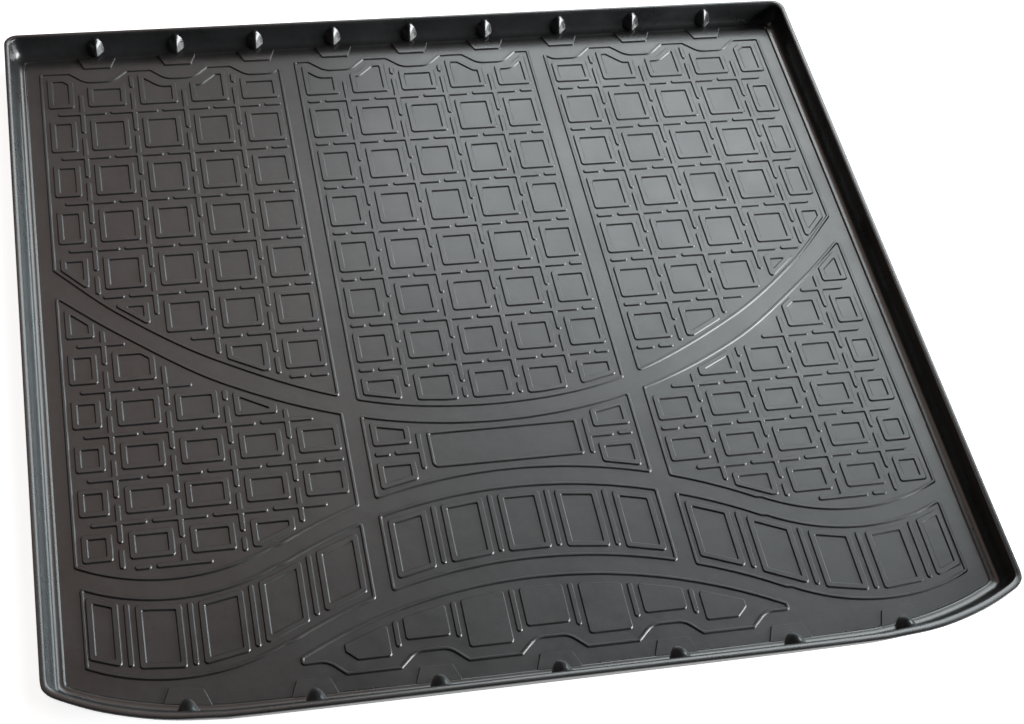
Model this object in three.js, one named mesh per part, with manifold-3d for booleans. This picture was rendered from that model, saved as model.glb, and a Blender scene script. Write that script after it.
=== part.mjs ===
// Boot liner: one moulded tray of soft black rubber with a raised tread, a stepped wall and a turned lip.
// Units are millimetres, +Z is up, the rear wall lies towards +Y. While it is drawn, y is measured from
// the front of the tread; the finished liner is moved so that the origin lies under the middle of its box.
import * as THREE from "three";
import Module from "manifold-3d";

const wasm = await Module();
wasm.setup();

// Plan of the tray: the foot of the wall on the floor, and how far the wall leans out from it.
const FLOOR_HALF = 482.4;
const FLOOR_REAR = 872;
const FLOOR_FRONT = -56;
const FLOOR_CORNER = 8;
const WALL_LEAN = { side: 23.6, rear: 20, front: 29 };
const RIM_CORNER = 16;
const CORNER_STEPS = 3;
// The bow of the front edge: distance in from the side, distance back from the middle of the front.
const FOOT_BOW = [[182.4, 2], [122.4, 6], [80.4, 13.5], [40.4, 25], [14.4, 35.5], [3.4, 41], [0, 48]];
const RIM_BOW = [[206, 0], [147, 2.5], [104, 7.8], [56, 21.6], [18, 39], [4, 49.5], [0, 63]];

// Section of the wall. A reach is the share of the lean at which a point of the section lies.
const FLOOR_TOP = 2.5;
const RIM_TOP = 32;
const SKIN = 2.8;
const FOOT_STEP = { reach: 0.05, height: 1.6 };
const LEDGE = { reach: 0.555, height: 6.5, underside: 2 };
const LIP_INNER = { reach: 0.74, drop: 1 };
const LIP_ROUND = { reach: 0.94, drop: 1.5 };
const LIP_EDGE = 4;

// Bosses on the wall and the pads at their feet.
const REAR_BOSSES = { count: 9, pitch: 99 };
const FRONT_BOSSES = { count: 7, pitch: 123 };
const BOSS_WIDTH = { foot: 12, ledge: 21, top: 11 };
const BOSS_BULGE = { foot: 1.5, ledge: 9, top: 2.5 };
const BOSS_STEPS = 3;
const BOSS_ROOT = 1;
const PAD = { wallHalf: 22, tipHalf: 16.5, length: 16.5, root: 2.2 };

// Panels of the tread and the channels between them.
const RIB_HEIGHT = 1.6;
const PANEL_GAP = { side: 15.5, rear: 21.5 };
const CHANNEL = { inner: 152.4, outer: 170.5 };
const BORDER_WIDTH = 3;
const BORDER_STEPS = { side: 6, middle: 4, front: 8 };
// Recesses of the rear panels around the rear pads, and of the front panel around the front pads.
const REAR_RECESS = { depth: 17, mouthHalf: 34, floorHalf: 13.7 };
const FRONT_RECESS = { depth: 16.6, mouthHalf: 34, floorHalf: 17 };
const RECESS_SPREAD = 0.6;
const LEAST_EDGE = 4;
// The band between the upper and the lower panels.
const BAND_TOP = [[0, 280.7], [150.7, 302], [300, 375.5], [400, 453], [470, 527]];
const BAND_BOTTOM = [[0, 260], [150.7, 280.7], [292, 342.8], [400, 425.5], [470, 490]];
// The wave of the lower panels: a wide crown in the middle that runs into a tighter dip on each side.
const WAVE = { crownY: 169.7, crownRadius: 525, dipX: 368, dipRadius: 212, dipY: 73.8 };
const WAVE_PANEL = { depth: 95, channel: 21, sideInset: 3.9 };
const FRONT_PANEL = { half: 255, front: -38 };
const LABEL = { half: 84, middle: 226, depth: 48 };

// Square frames. A row is given by its front edge. A side panel is less than five pitches wide, so that
// its outermost column is narrower.
const COLUMNS = 5;
const COLUMN_PITCH = 62.4;
const SIDE_PITCHES = 4.75;
const SQUARE_GAP = 17;
const SQUARE_WALL = 6.1;
const LEAST_HOLE = 60;
const MARGIN = 8.6;
const CHANNEL_GAP = 7.5;
const ROW_GAP = 22.3;
const UPPER_ROWS = [787.6, 712.4, 638, 563.1, 490, 420, 354.5, 292];
const LOWER_ROWS = [420.7, 355.5, 294.8, 237.2, 180.3, 123.8];
const REAR_SQUARE_GAP = 10.3;
const WAVE_SQUARE_GAP = { rear: 10, front: 12 };
const FRONT_PLATE_GAP = { rear: 13, front: 15.5 };

// Crossing ribs and bars between the squares.
const RIB_WIDTH = 5.2;
const RIB_SPACE = { x: 5.4, y: 7.5 };
const LEAST_ARM = 10;
const WAVE_BAR_GAP = { rear: 9, front: 13.5 };
const FRONT_BAR_RISE = 9;

// Depth to which every raised detail reaches into the floor, so that it joins it.
const SINK = 0.6;
const RIB_FOOT = FLOOR_TOP - SINK;
const RIB_TOP = FLOOR_TOP + RIB_HEIGHT;

const RIM_HALF = FLOOR_HALF + WALL_LEAN.side;
const RIM_REAR = FLOOR_REAR + WALL_LEAN.rear;
const RIM_FRONT = FLOOR_FRONT - WALL_LEAN.front;
const MIDDLE_Y = (RIM_REAR + RIM_FRONT) / 2;
const PANEL_SIDE = FLOOR_HALF - PANEL_GAP.side;
const PANEL_REAR = FLOOR_REAR - PANEL_GAP.rear;
const SIDE_PITCH = (PANEL_SIDE - CHANNEL.outer) / SIDE_PITCHES;
const SIDE_COLUMN = CHANNEL.outer + CHANNEL_GAP + (SIDE_PITCH - SQUARE_GAP) / 2;
const SIDES = [1, -1];

const mirrored = (line) => line.map(([x, y]) => [-x, y]).reverse();
const raised = (line, z) => line.map(([x, y]) => new THREE.Vector3(x, y, z));
const flat = (line) => line.map(([x, y]) => new THREE.Vector2(x, y));
const plan = (points) => points.map((p) => [p.x, p.y]);
const clamp = THREE.MathUtils.clamp;

// A solid from its triangles, each given as three points.
function solid(faces) {
  const numbers = new Map();
  const points = [];
  const corners = Uint32Array.from(faces.flat(), (p) => {
    const key = p.toArray().map((v) => Math.round(v * 1e4)).join();
    if (!numbers.has(key)) {
      numbers.set(key, points.length / 3);
      points.push(...p.toArray());
    }
    return numbers.get(key);
  });
  return new wasm.Manifold(
    new wasm.Mesh({ numProp: 3, vertProperties: Float32Array.from(points), triVerts: corners }),
  );
}

// The strip of triangles between two loops with as many points, facing outward when the second lies above.
function strip(lower, upper) {
  return lower.flatMap((p, i) => {
    const j = (i + 1) % lower.length;
    return [[p, lower[j], upper[j]], [p, upper[j], upper[i]]];
  });
}

// The flat face inside a loop and around its holes, facing up or down.
function cap(loop, holes, z, facesUp) {
  const all = [...loop, ...holes.flat()].map(([x, y]) => new THREE.Vector3(x, y, z));
  return THREE.ShapeUtils.triangulateShape(flat(loop), holes.map(flat)).map(([a, b, c]) =>
    facesUp ? [all[a], all[b], all[c]] : [all[c], all[b], all[a]],
  );
}

// A raised slab with upright sides; loops and holes run counterclockwise.
function slab(loop, holes) {
  const clockwise = holes.map((hole) => [...hole].reverse());
  return [
    ...cap(loop, clockwise, RIB_TOP, true),
    ...cap(loop, clockwise, RIB_FOOT, false),
    ...[loop, ...clockwise].flatMap((line) => strip(raised(line, RIB_FOOT), raised(line, RIB_TOP))),
  ];
}

// A loop moved inward by a distance, with mitred corners.
function inset(loop, distance) {
  return loop.map(([x, y], i) => {
    const [px, py] = loop.at(i - 1);
    const [nx, ny] = loop[(i + 1) % loop.length];
    const before = new THREE.Vector2(x - px, y - py).normalize();
    const after = new THREE.Vector2(nx - x, ny - y).normalize();
    const share = distance / (1 + before.dot(after));
    return [x - (before.y + after.y) * share, y + (before.x + after.x) * share];
  });
}

// A low ridge with two slopes along the inside of a loop.
function border(loop) {
  const spread = (SINK * BORDER_WIDTH) / 2 / RIB_HEIGHT;
  const outer = raised(inset(loop, -spread), RIB_FOOT);
  const crest = raised(inset(loop, BORDER_WIDTH / 2), RIB_TOP);
  const inner = raised(inset(loop, BORDER_WIDTH + spread), RIB_FOOT);
  return [...strip(outer, crest), ...strip(crest, inner), ...strip(inner, outer)];
}

// A cross of ribs with a crest; an arm of no length is left out. Arms point to +X, +Y, -X and -Y.
function cross(x, y, arms) {
  const half = RIB_WIDTH / 2;
  const spread = (SINK * half) / RIB_HEIGHT;
  const wide = half + spread;
  const at = (turn, along, across, z) => {
    const [cos, sin] = [Math.cos((turn * Math.PI) / 2), Math.sin((turn * Math.PI) / 2)];
    return new THREE.Vector3(x + along * cos - across * sin, y + along * sin + across * cos, z);
  };
  const middle = at(0, 0, 0, RIB_TOP);
  const loop = [];
  const faces = arms.flatMap((length, turn) => {
    const right = at(turn, wide, -wide, RIB_FOOT);
    const left = at(turn, wide, wide, RIB_FOOT);
    loop.push(right);
    if (!length) return [[right, left, middle]];
    const endRight = at(turn, length + spread, -wide, RIB_FOOT);
    const endLeft = at(turn, length + spread, wide, RIB_FOOT);
    const crest = at(turn, length - half, 0, RIB_TOP);
    loop.push(endRight, endLeft);
    return [
      [right, endRight, crest],
      [right, crest, middle],
      [endRight, endLeft, crest],
      [endLeft, left, middle],
      [endLeft, middle, crest],
    ];
  });
  return [...faces, ...cap(plan(loop), [], RIB_FOOT, false)];
}

// A smooth height over x through the given points, mirrored about x = 0.
function through(points) {
  const slopes = points.map(([x, y], i) => {
    if (i === 0) return 0;
    const [px, py] = points[i - 1];
    const [nx, ny] = points[i + 1] ?? [x, y];
    return (ny - py) / (nx - px);
  });
  return (x) => {
    const d = Math.min(Math.abs(x), points.at(-1)[0]);
    const i = Math.max(1, points.findIndex(([px]) => px >= d));
    const [x0, y0] = points[i - 1];
    const [x1, y1] = points[i];
    const step = x1 - x0;
    const t = (d - x0) / step;
    const s = 1 - t;
    return (
      y0 * s * s * (1 + 2 * t) + y1 * t * t * (3 - 2 * t) + step * s * t * (slopes[i - 1] * s - slopes[i] * t)
    );
  };
}

const bandTop = through(BAND_TOP);
const bandBottom = through(BAND_BOTTOM);

function wave(x) {
  const { crownY, crownRadius, dipX, dipRadius, dipY } = WAVE;
  const d = Math.abs(x);
  const meet = (dipX * crownRadius) / (crownRadius + dipRadius);
  return d < meet
    ? crownY - crownRadius + Math.sqrt(crownRadius ** 2 - d ** 2)
    : dipY + dipRadius - Math.sqrt(dipRadius ** 2 - (d - dipX) ** 2);
}

const shifted = (line, by) => (x) => line(x) + by;
const lowerFront = shifted(wave, WAVE_PANEL.channel);
const waveFront = shifted(wave, -WAVE_PANEL.depth);
const frontPanelRear = shifted(waveFront, -WAVE_PANEL.channel);

// A line with a row of recesses around the bosses, moved aside by a gap; it also gives its own corners.
function recessed(outer, bosses, { depth, mouthHalf, floorHalf }) {
  const last = (bosses.count - 1) / 2;
  const centres = Array.from({ length: bosses.count }, (_, i) => (i - last) * bosses.pitch);
  const line = (x, gap) => {
    const d = Math.min(...centres.map((centre) => Math.abs(x - centre)));
    const share = (mouthHalf + RECESS_SPREAD * gap - d) / (mouthHalf - floorHalf);
    return outer - gap - depth * clamp(share, 0, 1);
  };
  line.corners = (x0, x1, gap) => {
    const halves = [mouthHalf, floorHalf].map((half) => half + RECESS_SPREAD * gap);
    const kept = halves.filter((half) => half < bosses.pitch / 2);
    const inside = centres
      .flatMap((centre) => kept.flatMap((half) => [centre - half, centre + half]))
      .filter((x) => x > x0 + LEAST_EDGE && x < x1 - LEAST_EDGE)
      .sort((a, b) => a - b);
    return [x0, ...inside, x1].map((x) => [x, line(x, gap)]);
  };
  return line;
}

const rearLine = recessed(PANEL_REAR, REAR_BOSSES, REAR_RECESS);
const frontLine = recessed(FRONT_PANEL.front, FRONT_BOSSES, { ...FRONT_RECESS, depth: -FRONT_RECESS.depth });

function sampled(line, x0, x1, count) {
  return Array.from({ length: count + 1 }, (_, i) => {
    const x = x0 + ((x1 - x0) * i) / count;
    return [x, line(x)];
  });
}

function area(loop) {
  return Math.abs(THREE.ShapeUtils.area(flat(loop)));
}

// The part of a loop on the left of the line from a to b, after that line has moved left by a distance.
function cut(loop, [a, b], distance) {
  const along = new THREE.Vector2(b[0] - a[0], b[1] - a[1]).normalize();
  const side = ([x, y]) => along.x * (y - a[1]) - along.y * (x - a[0]) - distance;
  return loop.flatMap((p, i) => {
    const q = loop[(i + 1) % loop.length];
    const [sp, sq] = [side(p), side(q)];
    const kept = sp >= 0 ? [p] : [];
    if (sp >= 0 === sq >= 0) return kept;
    const t = sp / (sp - sq);
    return [...kept, [p[0] + (q[0] - p[0]) * t, p[1] + (q[1] - p[1]) * t]];
  });
}

// A square frame between the given sides, trimmed by lines; too small a rest is left out.
function square([x0, x1], [y0, y1], trims) {
  const box = (d) => [[x0 + d, y0 + d], [x1 - d, y0 + d], [x1 - d, y1 - d], [x0 + d, y1 - d]];
  const trimmed = (d) => trims.reduce((loop, line) => cut(loop, line, d), box(d));
  const outer = trimmed(0);
  const inner = trimmed(SQUARE_WALL);
  return inner.length > 2 && area(inner) > LEAST_HOLE ? slab(outer, [inner]) : [];
}

// A frame whose rear side follows the recess around the rear pads.
function rearSquare([x0, x1], y0) {
  const loop = (d) => [
    [x0 + d, y0 + d],
    [x1 - d, y0 + d],
    ...rearLine.corners(x0 + d, x1 - d, REAR_SQUARE_GAP + d).reverse(),
  ];
  return slab(loop(0), [loop(SQUARE_WALL)]);
}

// Columns of squares from a first middle line outward; the outermost end at the margin of their panel.
function columns(first, pitch, side, edge) {
  const half = (pitch - SQUARE_GAP) / 2;
  return Array.from({ length: COLUMNS }, (_, i) => {
    const middle = side * (first + pitch * i);
    return [Math.max(middle - half, MARGIN - edge), Math.min(middle + half, edge - MARGIN)];
  });
}

const FIRST_COLUMN = (-COLUMN_PITCH * (COLUMNS - 1)) / 2;
const MIDDLE_COLUMNS = columns(FIRST_COLUMN, COLUMN_PITCH, 1, CHANNEL.inner);
const SIDE_COLUMNS = SIDES.flatMap((side) => columns(SIDE_COLUMN, SIDE_PITCH, side, PANEL_SIDE));
const ALL_COLUMNS = [...MIDDLE_COLUMNS, ...SIDE_COLUMNS];

// A trim that keeps what lies above a curve, or below it, taken straight across a column.
const above = (line, gap) => ([x0, x1]) => [[x0, line(x0) + gap], [x1, line(x1) + gap]];
const below = (line, gap) => ([x0, x1]) => [[x1, line(x1) - gap], [x0, line(x0) - gap]];

function squares(across, rows, trims) {
  return across.flatMap((column) =>
    rows.flatMap((row) => square(column, row, trims.map((trim) => trim(column)))),
  );
}

// The front and rear edge of each row of squares.
function rowSpans(fronts) {
  return fronts.map((y, i) => {
    const behind = fronts[i - 1] ?? 2 * y - fronts[i + 1];
    return [y, behind - ROW_GAP];
  });
}

function upperSquares() {
  const [first, ...rest] = rowSpans(UPPER_ROWS);
  return [
    ...ALL_COLUMNS.flatMap((column) => rearSquare(column, first[0])),
    ...squares(ALL_COLUMNS, rest, [above(bandTop, MARGIN)]),
  ];
}

function lowerSquares() {
  return squares(SIDE_COLUMNS, rowSpans(LOWER_ROWS), [below(bandBottom, MARGIN), above(lowerFront, MARGIN)]);
}

function labelSquares() {
  const ends = [MIDDLE_COLUMNS[0], MIDDLE_COLUMNS.at(-1)];
  const rows = [
    [LABEL.middle + ROW_GAP / 2, LABEL.middle + LABEL.depth],
    [LABEL.middle - LABEL.depth, LABEL.middle - ROW_GAP / 2],
  ];
  return squares(ends, rows, [below(bandBottom, MARGIN), above(lowerFront, MARGIN)]);
}

function waveSquares() {
  const trims = [below(wave, WAVE_SQUARE_GAP.rear), above(waveFront, WAVE_SQUARE_GAP.front)];
  return squares(ALL_COLUMNS, [[-PANEL_SIDE, PANEL_SIDE]], trims);
}

// The length of an arm from a crossing that stays inside a panel.
function armLength(inside, x, y, dx, dy, most) {
  let length = 0;
  while (length < most && inside(x + dx * (length + 1), y + dy * (length + 1))) length += 1;
  length = Math.min(length, most);
  return length < LEAST_ARM ? 0 : length;
}

function crosses(xs, pitch, fronts, inside) {
  const centres = fronts.map((y) => y - ROW_GAP / 2);
  const across = (pitch - RIB_SPACE.x) / 2;
  return centres.flatMap((y, i) => {
    const behind = centres[i - 1] ?? 2 * y - centres[i + 1];
    const ahead = centres[i + 1] ?? 2 * y - centres[i - 1];
    const [north, south] = [behind - y, y - ahead].map((pitch) => (pitch - RIB_SPACE.y) / 2);
    return xs.flatMap((x) =>
      inside(x, y)
        ? cross(x, y, [
            armLength(inside, x, y, 1, 0, across),
            armLength(inside, x, y, 0, 1, north),
            armLength(inside, x, y, -1, 0, across),
            armLength(inside, x, y, 0, -1, south),
          ])
        : [],
    );
  });
}

const ARM_CLEAR = 12;
const between = (front, rear) => (x, y) => y > front(x) + ARM_CLEAR && y < rear(x) - ARM_CLEAR;
const steps = (count) => Array.from({ length: count }, (_, i) => i - (count - 1) / 2);
const GAPS = steps(COLUMNS - 1);
const SIDE_MIDDLE = SIDE_COLUMN + (SIDE_PITCH * (COLUMNS - 1)) / 2;
const MIDDLE_RIBS = GAPS.map((i) => i * COLUMN_PITCH);
const SIDE_RIBS = SIDES.flatMap((side) => GAPS.map((i) => side * (SIDE_MIDDLE + i * SIDE_PITCH)));

function fieldRibs() {
  const upper = between(bandTop, () => PANEL_REAR);
  const rows = UPPER_ROWS.slice(0, -1);
  return [
    ...crosses(MIDDLE_RIBS, COLUMN_PITCH, rows, upper),
    ...crosses(SIDE_RIBS, SIDE_PITCH, rows, upper),
    ...crosses(SIDE_RIBS, SIDE_PITCH, LOWER_ROWS, between(lowerFront, bandBottom)),
  ];
}

// Upright bars between two lines.
function bars(xs, front, rear) {
  const half = RIB_WIDTH / 2;
  return xs.flatMap((x) => {
    const [y0, y1] = [front(x), rear(x)];
    return slab([[x - half, y0], [x + half, y0], [x + half, y1], [x - half, y1]], []);
  });
}

function waveRibs() {
  const front = shifted(waveFront, WAVE_BAR_GAP.front);
  return bars([...MIDDLE_RIBS, ...SIDE_RIBS], front, shifted(wave, -WAVE_BAR_GAP.rear));
}

// The two upright ribs beside the label, each with one arm that points away from it.
function labelRibs() {
  const across = (COLUMN_PITCH - RIB_SPACE.x) / 2;
  const upright = LABEL.depth / 2;
  return SIDES.flatMap((side) => {
    const arms = side > 0 ? [across, upright, 0, upright] : [0, upright, across, upright];
    return cross(side * MIDDLE_RIBS.at(-1), LABEL.middle, arms);
  });
}

function frontPlates() {
  const rear = below(frontPanelRear, FRONT_PLATE_GAP.rear);
  const front = (x) => frontLine(x, 0) + FRONT_PLATE_GAP.front;
  const plates = steps(COLUMNS + 2).flatMap((i) => {
    const middle = i * COLUMN_PITCH;
    const half = (COLUMN_PITCH - SQUARE_GAP) / 2;
    const [x0, x1] = [middle - half, middle + half];
    const [y0, y1] = [front(middle), WAVE.crownY];
    return slab(cut([[x0, y0], [x1, y0], [x1, y1], [x0, y1]], rear([x0, x1]), 0), []);
  });
  const ribs = steps(COLUMNS + 1).map((i) => i * COLUMN_PITCH);
  const ribEnd = shifted(frontPanelRear, -FRONT_PLATE_GAP.rear);
  return [...plates, ...bars(ribs, shifted(front, FRONT_BAR_RISE), ribEnd)];
}

// The outlines of the three panels, one behind the other, between two x positions.
function panelColumn([x0, x1], count) {
  const { sideInset } = WAVE_PANEL;
  const [w0, w1] = [x0 + (x0 < -CHANNEL.outer ? sideInset : 0), x1 - (x1 > CHANNEL.outer ? sideInset : 0)];
  return [
    [...sampled(bandTop, x0, x1, count), ...rearLine.corners(x0, x1, 0).reverse()],
    [...sampled(lowerFront, x0, x1, count), ...sampled(bandBottom, x0, x1, count).reverse()],
    [...sampled(waveFront, w0, w1, count), ...sampled(wave, w0, w1, count).reverse()],
  ];
}

function panelBorders() {
  const frontHalf = FRONT_PANEL.half;
  const { half, middle, depth } = LABEL;
  const [y0, y1] = [middle - depth / 2, middle + depth / 2];
  const outlines = [
    ...panelColumn([-PANEL_SIDE, -CHANNEL.outer], BORDER_STEPS.side),
    ...panelColumn([-CHANNEL.inner, CHANNEL.inner], BORDER_STEPS.middle),
    ...panelColumn([CHANNEL.outer, PANEL_SIDE], BORDER_STEPS.side),
    [
      ...frontLine.corners(-frontHalf, frontHalf, 0),
      ...sampled(frontPanelRear, -frontHalf, frontHalf, BORDER_STEPS.front).reverse(),
    ],
    [[-half, y0], [half, y0], [half, y1], [-half, y1]],
  ];
  return outlines.flatMap(border);
}

// One side of an outline from the front middle to the rear corner, with the rounded corner at its end.
function halfOutline(front, bow, half, rear, radius) {
  const bowed = bow.map(([inward, back]) => [half - inward, front + back]);
  const corner = Array.from({ length: CORNER_STEPS + 1 }, (_, i) => {
    const turn = (i / CORNER_STEPS) * (Math.PI / 2);
    return [half - radius + radius * Math.cos(turn), rear - radius + radius * Math.sin(turn)];
  });
  return [[0, front], ...bowed, ...corner];
}

const footHalf = halfOutline(FLOOR_FRONT, FOOT_BOW, FLOOR_HALF, FLOOR_REAR, FLOOR_CORNER);
const rimHalf = halfOutline(RIM_FRONT, RIM_BOW, RIM_HALF, RIM_REAR, RIM_CORNER);
const footLine = [...footHalf, ...mirrored(footHalf.slice(1))];
const rimLine = [...rimHalf, ...mirrored(rimHalf.slice(1))];

// A loop around the wall at a share of its lean, moved outward by a distance.
function wallLoop(reach, z, outward = 0) {
  return footLine.map(([x, y], i) => {
    const lean = new THREE.Vector2(rimLine[i][0] - x, rimLine[i][1] - y);
    const share = reach + outward / lean.length();
    return new THREE.Vector3(x + lean.x * share, y + lean.y * share, z);
  });
}

const LEDGE_Z = FLOOR_TOP + LEDGE.height;
const LIP_INNER_Z = RIM_TOP - LIP_INNER.drop;

function tray() {
  const loops = [
    wallLoop(0, 0, SKIN / 2),
    wallLoop(LEDGE.reach, LEDGE_Z - LEDGE.underside, SKIN),
    wallLoop(LIP_INNER.reach, RIM_TOP - LIP_EDGE, SKIN),
    wallLoop(1, RIM_TOP - LIP_EDGE),
    wallLoop(1, RIM_TOP - LIP_ROUND.drop),
    wallLoop(LIP_ROUND.reach, RIM_TOP),
    wallLoop(LIP_INNER.reach, LIP_INNER_Z),
    wallLoop(LEDGE.reach, LEDGE_Z),
    wallLoop(FOOT_STEP.reach, FLOOR_TOP + FOOT_STEP.height),
    wallLoop(0, FLOOR_TOP),
  ];
  return solid([
    ...cap(plan(loops[0]), [], 0, false),
    ...loops.slice(1).flatMap((loop, i) => strip(loops[i], loop)),
    ...cap(plan(loops.at(-1)), [], FLOOR_TOP, true),
  ]);
}

// The y of an outline's front part at some x.
function yOn(line, x) {
  const d = Math.abs(x);
  const i = line.findIndex(([px]) => px >= d);
  const [x0, y0] = line[Math.max(i, 1) - 1];
  const [x1, y1] = line[Math.max(i, 1)];
  return y0 + ((y1 - y0) * (d - x0)) / (x1 - x0);
}

// The wall line at some reach: the front one bends with the outline, the rear one is straight.
const rearWall = (reach) => () => FLOOR_REAR + WALL_LEAN.rear * reach;
const frontWall = (reach) => (x) => {
  const foot = yOn(footHalf, x);
  return foot + (yOn(rimHalf, x) - foot) * reach;
};

// A half-round swelling on the wall, widest at the ledge; outward is the side the wall faces away from.
function boss(x, wall, outward) {
  const loop = (part, reach, z) => {
    const half = BOSS_WIDTH[part] / 2;
    const round = Array.from({ length: BOSS_STEPS + 1 }, (_, i) => {
      const turn = (Math.PI * i) / BOSS_STEPS;
      return [half * Math.cos(turn), -BOSS_BULGE[part] * Math.sin(turn)];
    });
    const section = [...round, [-half, BOSS_ROOT], [half, BOSS_ROOT]];
    const line = section.map(([u, v]) => [x + u, wall(reach)(x + u) + v * outward]);
    return raised(outward > 0 ? line.reverse() : line, z);
  };
  const loops = [
    loop("foot", 0, RIB_FOOT),
    loop("ledge", LEDGE.reach, LEDGE_Z),
    loop("top", LIP_INNER.reach, LIP_INNER_Z - BOSS_ROOT),
  ];
  return [
    ...cap(plan(loops[0]), [], loops[0][0].z, false),
    ...strip(loops[0], loops[1]),
    ...strip(loops[1], loops[2]),
    ...cap(plan(loops[2]), [], loops[2][0].z, true),
  ];
}

function pad(x, wall, outward) {
  const at = (u, v) => [x + u, wall(0)(x + u) + v * outward];
  const { wallHalf, tipHalf, length, root } = PAD;
  const loop = [at(-tipHalf, -length), at(tipHalf, -length), at(wallHalf, root), at(-wallHalf, root)];
  return slab(outward > 0 ? loop : loop.reverse(), []);
}

function alongWalls(make) {
  const places = ({ count, pitch }) => steps(count).map((i) => i * pitch);
  return [
    ...places(REAR_BOSSES).flatMap((x) => make(x, rearWall, 1)),
    ...places(FRONT_BOSSES).flatMap((x) => make(x, frontWall, -1)),
  ];
}

const details = [
  alongWalls(pad),
  alongWalls(boss),
  panelBorders(),
  [...upperSquares(), ...lowerSquares(), ...labelSquares(), ...waveSquares()],
  [...fieldRibs(), ...waveRibs(), ...labelRibs()],
  frontPlates(),
];
const liner = details.reduce((body, faces) => body.add(solid(faces)), tray());

function meshOf(body) {
  const { numProp, vertProperties, triVerts } = body.getMesh();
  const geometry = new THREE.BufferGeometry();
  geometry.setAttribute("position", new THREE.BufferAttribute(Float32Array.from(vertProperties), numProp));
  geometry.setIndex(new THREE.BufferAttribute(Uint32Array.from(triVerts), 1));
  geometry.translate(0, -MIDDLE_Y, 0);
  geometry.computeVertexNormals();
  return new THREE.Mesh(geometry, new THREE.MeshStandardMaterial({ color: 0x1d1e20, roughness: 0.6 }));
}

const group = new THREE.Group();
const linerMesh = meshOf(liner);
linerMesh.name = "boot_liner";
group.add(linerMesh);

export default group;
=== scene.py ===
# %% [markdown]
# A boot liner is one sheet of black rubber, moulded into a shallow tray with a raised tread. The packed
# CAD part is the fixed frame: it gives the box of the tray. Blender could bevel the CAD mesh, but its
# faces are coarse, so a finer tray is built here from the same few sizes and stands for the CAD node.

import math

import bpy
from mathutils import Matrix, Vector
from mathutils.geometry import delaunay_2d_cdt


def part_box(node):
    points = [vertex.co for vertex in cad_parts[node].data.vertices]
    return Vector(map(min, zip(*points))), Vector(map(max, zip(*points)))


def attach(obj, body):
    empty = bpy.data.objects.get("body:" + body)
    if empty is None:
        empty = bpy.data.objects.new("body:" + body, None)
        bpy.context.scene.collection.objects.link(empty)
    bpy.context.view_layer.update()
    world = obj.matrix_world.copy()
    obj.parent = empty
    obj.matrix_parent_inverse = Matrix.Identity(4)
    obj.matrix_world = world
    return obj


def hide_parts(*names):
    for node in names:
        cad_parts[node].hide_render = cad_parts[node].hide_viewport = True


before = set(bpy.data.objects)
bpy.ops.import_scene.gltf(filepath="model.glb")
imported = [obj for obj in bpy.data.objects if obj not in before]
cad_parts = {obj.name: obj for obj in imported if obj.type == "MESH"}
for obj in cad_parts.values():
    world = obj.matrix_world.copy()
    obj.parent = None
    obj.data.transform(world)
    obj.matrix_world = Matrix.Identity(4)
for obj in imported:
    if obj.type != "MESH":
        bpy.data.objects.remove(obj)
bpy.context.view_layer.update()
tray_low, tray_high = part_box("boot_liner")
MM = 0.001


def add_object(name, data):
    made = bpy.data.objects.new(name, data)
    bpy.context.scene.collection.objects.link(made)
    return made


print("tray", [round(v / MM, 1) for v in tray_high - tray_low], "mm")

# %% [markdown]
# The camera stands in front of the tray, to the left of its middle, and looks down into it with a slight
# roll. Its place and turn were solved once from the tread, whose squares are a grid in perspective. A
# Track To constraint would lose the roll, so the turn is set from the camera's own right and forward.

# %% The camera
CAMERA_PLACE = Vector((-0.4323, -1.4185, 1.7118))
CAMERA_RIGHT = Vector((0.9748, -0.1938, 0.1100))
CAMERA_FORWARD = Vector((0.2073, 0.6071, -0.7671))
CAMERA_LENS, SENSOR_WIDTH = 69.42, 36

camera_data = bpy.data.cameras.new("camera")
camera_data.lens = CAMERA_LENS
camera_data.sensor_width = SENSOR_WIDTH
camera = add_object("camera", camera_data)
camera_back = -CAMERA_FORWARD.normalized()
camera_up = camera_back.cross(CAMERA_RIGHT).normalized()
camera_right = camera_up.cross(camera_back)
camera_turn = Matrix((camera_right, camera_up, camera_back)).transposed()
camera.matrix_world = Matrix.Translation(CAMERA_PLACE) @ camera_turn.to_4x4()
bpy.context.scene.camera = camera
print("camera", [round(v, 3) for v in camera.location], "lens", camera_data.lens)

# %% [markdown]
# Black rubber shows its shape by reflection alone. A wide soft box at the right rear lays an even sheen on
# the floor, and a dim, warm one at the left rear fills it. A long window at the right puts bright lines on
# the flanks that face it, and a dim one farther back tints the bend of the left wall, while the side of
# the camera stays dark. A world of one bright colour would be simpler, but it lights every flank alike,
# and the tread would vanish.

# %% Lights and world
SOFT_BOXES = {
    "soft_box_behind": {"place": (2.1, 3.4, 3.4), "size": (3.2, 1.7), "power": 125, "tint": (0.92, 0.98, 1)},
    "soft_box_left": {"place": (-1.0, 2.2, 3.1), "size": (3.2, 1.8), "power": 17, "tint": (1, 0.72, 0.62)},
    "window_right": {"place": (3.1, -0.6, 0.85), "size": (3.2, 1.5), "power": 285, "tint": (0.96, 0.99, 1)},
    "window_far": {"place": (2.5, 1.9, 0.45), "size": (2.2, 0.7), "power": 32, "tint": (0.8, 0.95, 1)},
}
WORLD_GREY = (0.035, 0.035, 0.035, 1)


def add_soft_box(name, place, size, power, tint):
    """A lamp that faces the middle of the tray."""
    data = bpy.data.lights.new(name, "AREA")
    data.shape = "RECTANGLE"
    data.color = tint
    data.size, data.size_y = size
    data.energy = power
    lamp = add_object(name, data)
    lamp.location = place
    lamp.rotation_mode = "QUATERNION"
    lamp.rotation_quaternion = Vector(place).to_track_quat("Z", "Y")


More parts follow.
